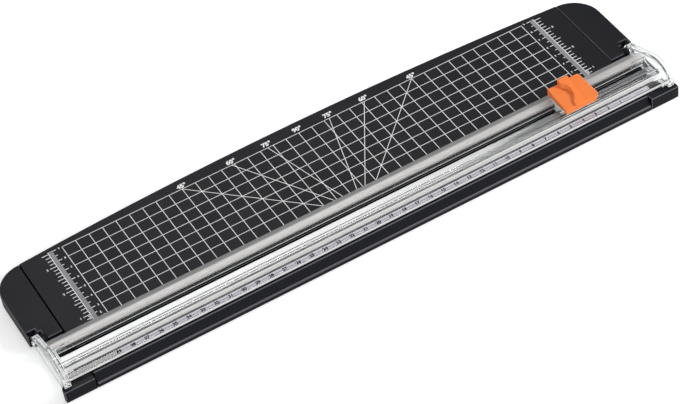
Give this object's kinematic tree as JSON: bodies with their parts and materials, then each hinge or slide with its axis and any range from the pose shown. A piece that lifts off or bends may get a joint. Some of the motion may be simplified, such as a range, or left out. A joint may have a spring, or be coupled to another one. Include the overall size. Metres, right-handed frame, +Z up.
{
  "type": "paper trimmer",
  "caption": "Flat desk paper trimmer: printed bed, clear guide rail hinged at the back, and a sliding blade carriage with a sprung thumb cap.",
  "frame": {"origin": "under the middle of the bed, on the surface that the rubber feet stand on", "axes": "+X along the cut to the user's right, +Y from the front ramp to the back edge, +Z up"},
  "size_m": [0.465, 0.1254, 0.031],
  "materials": {
    "bed_plastic": "fine moulded grain, near black",
    "strip_rubber": "smooth black",
    "foot_rubber": "matt black",
    "pin_steel": "turned",
    "screw_steel": "zinc plated",
    "clear_plastic": "clear, polished",
    "scale_film": "silver grey film with black figures",
    "grip_rubber": "soft, matt",
    "milky_plastic": "milky white, satin",
    "orange_plastic": "satin orange",
    "spring_steel": "drawn wire",
    "blade_steel": "ground"
  },
  "bodies": {
    "bed": {"bed_tray": "bed_plastic", "left_end_moulding": "bed_plastic", "right_end_moulding": "bed_plastic", "end_screws": "screw_steel", "cutting_strip": "strip_rubber", "rubber_feet": "foot_rubber", "left_pivot_pin": "pin_steel", "right_pivot_pin": "pin_steel"},
    "rail": {"guide_rail": "clear_plastic", "left_rail_cap": "clear_plastic", "right_rail_cap": "clear_plastic", "cap_screws": "screw_steel", "scale_strip": "scale_film", "front_grip_strip": "grip_rubber", "rear_grip_strip": "grip_rubber"},
    "carriage": {"carriage": "milky_plastic", "left_press_spring": "spring_steel", "right_press_spring": "spring_steel"},
    "press_head": {"press_cap": "orange_plastic", "blade_holder": "milky_plastic", "blade": "blade_steel", "blade_pin": "pin_steel"}
  },
  "joints": [
    {"name": "rail_lift", "type": "hinge", "parent": "bed", "child": "rail", "pos_m": [0, -0.01225, 0.0095], "axis": [-1, 0, 0], "range_deg": [0, 85]},
    {"name": "carriage_slide", "type": "slide", "parent": "rail", "child": "carriage", "axis": [1, 0, 0], "range_m": [-0.3747, 0.0447]},
    {"name": "cap_press", "type": "slide", "parent": "carriage", "child": "press_head", "axis": [0, 0, -1], "range_m": [0, 0.0015], "stiffness_N_per_m": 400, "springref_m": -0.002, "deforming": ["left_press_spring", "right_press_spring"]}
  ]
}
